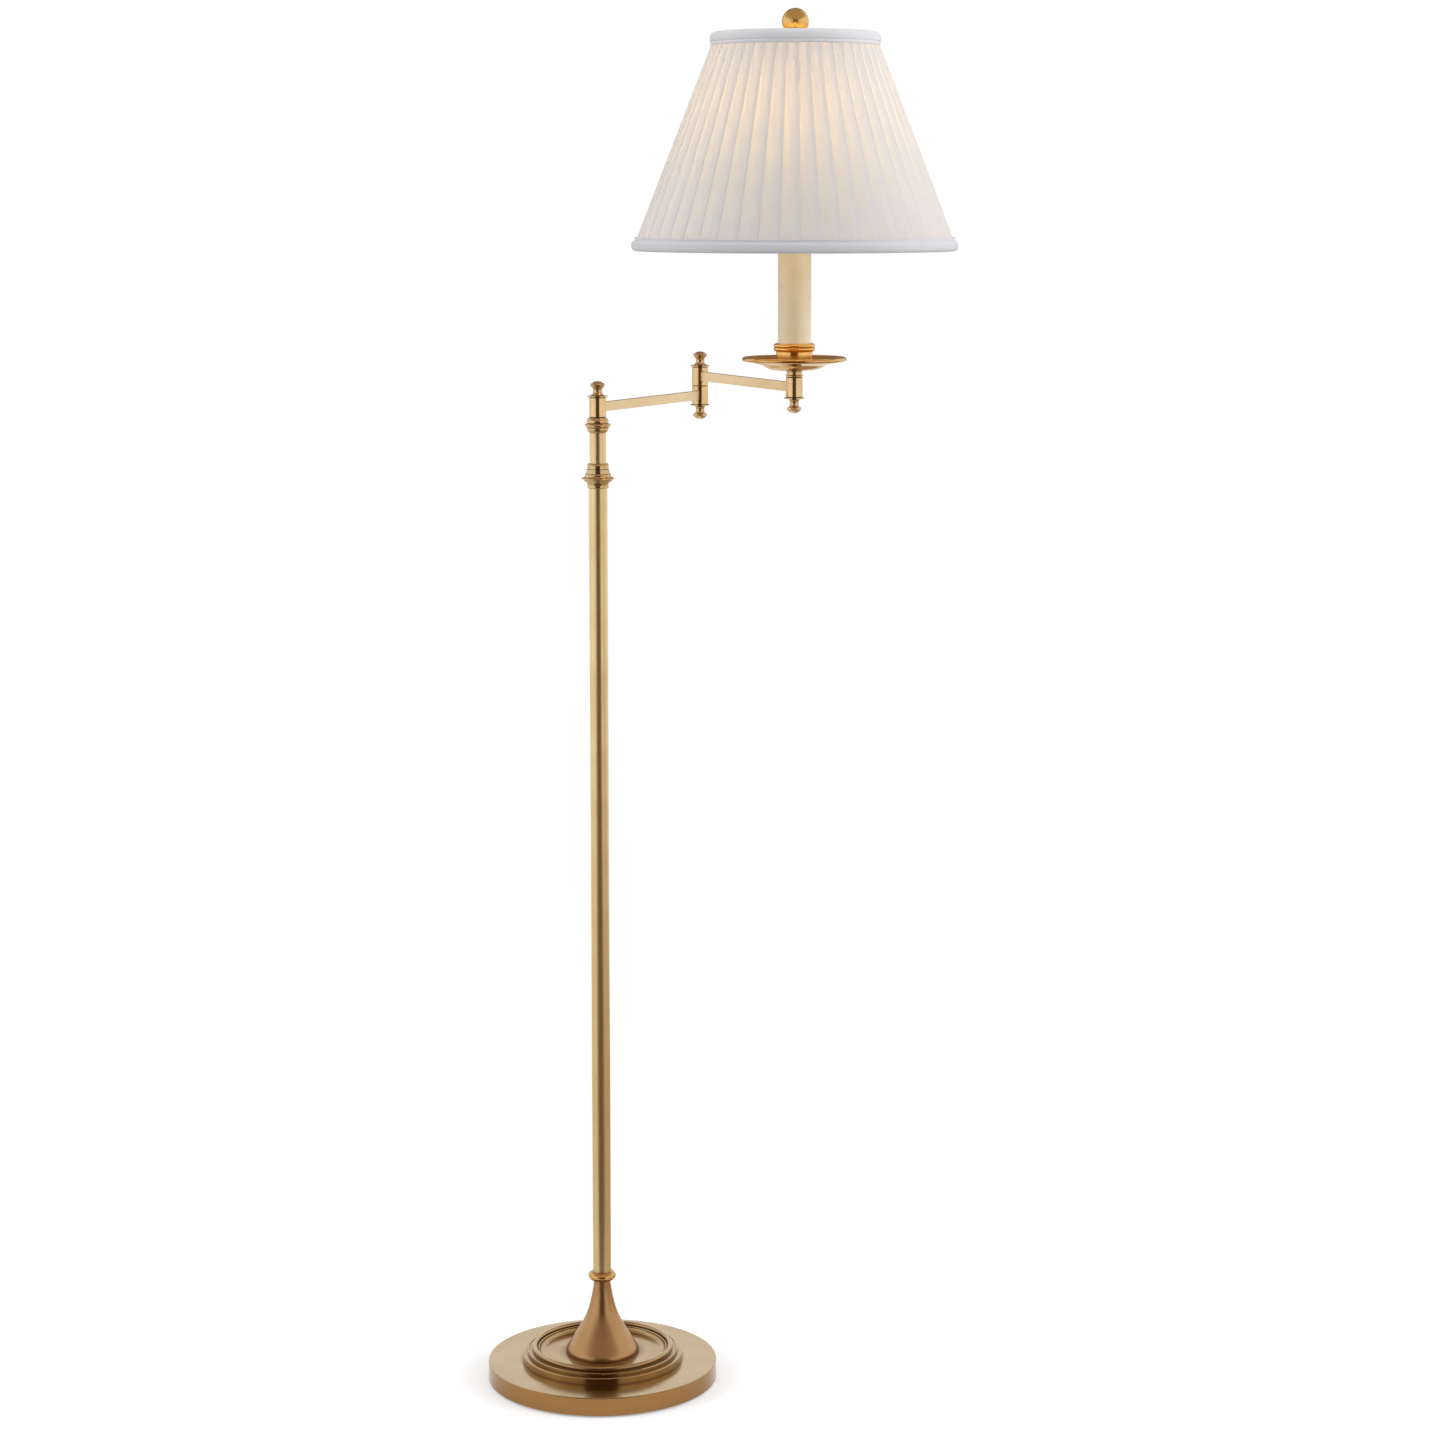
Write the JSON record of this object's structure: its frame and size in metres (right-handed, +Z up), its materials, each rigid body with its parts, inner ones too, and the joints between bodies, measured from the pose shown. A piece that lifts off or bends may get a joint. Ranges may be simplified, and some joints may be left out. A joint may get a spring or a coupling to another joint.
{
  "type": "swing arm floor lamp",
  "caption": "Brass floor lamp with a round weighted base, a slim pole, a hinged double swing arm and a candle-style head under a pleated shade.",
  "frame": {"origin": "on the floor, on the pole's axis, at the middle of the felt's underside", "axes": "+Z up along the pole; the arms swing in level planes; the cord leaves the base towards +Y"},
  "size_m": [0.5116, 0.4026, 1.5036],
  "materials": {
    "antique_brass": "satin antique brass, lacquered",
    "base_iron": "raw casting",
    "steel": "zinc plated",
    "bronze": "turned bronze",
    "nylon": "natural nylon",
    "wire_cover": "flexible insulation",
    "felt": "brown felt",
    "bushing_plastic": "brown moulded plastic",
    "ivory_sleeve": "ivory, satin",
    "liner_card": "plain card",
    "phenolic": "moulded",
    "bulb_glass": "frosted",
    "frame_wire": "white enamel",
    "shade_lining": "translucent white sheet",
    "pleated_cloth": "pleated white silk",
    "trim_cloth": "folded white silk"
  },
  "bodies": {
    "stand": {"base_felt": "felt", "base_weight": "base_iron", "base_cover": "antique_brass", "base_washer": "steel", "base_nut": "steel", "cord_bushing": "bushing_plastic", "dish_ring": "antique_brass", "trumpet_stem": "antique_brass", "neck_bead": "antique_brass", "pole_tube": "antique_brass", "pole_pipe": "steel", "pole_wire": "wire_cover", "pole_collar": "antique_brass", "upper_tube": "antique_brass", "pivot_collar": "antique_brass", "pole_post": "steel", "pole_washers": "nylon", "pole_finial": "antique_brass"},
    "first_arm": {"first_arm_bar": "antique_brass", "pole_barrel": "antique_brass", "pole_bush": "bronze", "lower_elbow_barrel": "antique_brass", "elbow_post": "steel", "elbow_washers": "nylon", "elbow_top_finial": "antique_brass", "elbow_bottom_finial": "antique_brass", "first_arm_wire": "wire_cover"},
    "second_arm": {"second_arm_bar": "antique_brass", "upper_elbow_barrel": "antique_brass", "elbow_bush": "bronze", "head_barrel": "antique_brass", "head_bush": "bronze", "second_arm_wire": "wire_cover"},
    "lamp_head": {"head_pipe": "steel", "head_wire": "wire_cover", "head_washers": "nylon", "head_finial": "antique_brass", "stem_collar": "antique_brass", "drip_pan": "antique_brass", "candle_cup": "antique_brass", "candle_sleeve": "ivory_sleeve", "candle_cap": "antique_brass", "harp_saddle": "steel", "socket_cap": "antique_brass", "socket_shell": "antique_brass", "socket_liner": "liner_card", "socket_body": "phenolic", "screw_shell": "antique_brass", "bulb_base": "antique_brass", "bulb_glass": "bulb_glass", "harp": "antique_brass", "shade_spider": "frame_wire", "shade_bottom_ring": "frame_wire", "shade_lining": "shade_lining", "shade_pleats": "pleated_cloth", "shade_top_trim": "trim_cloth", "shade_bottom_trim": "trim_cloth", "shade_finial": "antique_brass"},
    "switch": {"switch_knob": "phenolic"}
  },
  "joints": [
    {"name": "pole_swivel", "type": "hinge", "parent": "stand", "child": "first_arm", "pos_m": [0, 0, 1.0831], "axis": [0, 0, 1], "range_deg": [-170, 170]},
    {"name": "elbow_swivel", "type": "hinge", "parent": "first_arm", "child": "second_arm", "pos_m": [0.11045, 0.21308, 1.1046], "axis": [0, 0, 1], "range_deg": [-40, 295]},
    {"name": "head_swivel", "type": "hinge", "parent": "second_arm", "child": "lamp_head", "pos_m": [0.21074, -0.00497, 1.1046], "axis": [0, 0, 1], "range_deg": [-170, 170]},
    {"name": "switch_turn", "type": "hinge", "parent": "lamp_head", "child": "switch", "pos_m": [0.21074, -0.02997, 1.3088], "axis": [0, -1, 0], "continuous": true}
  ]
}
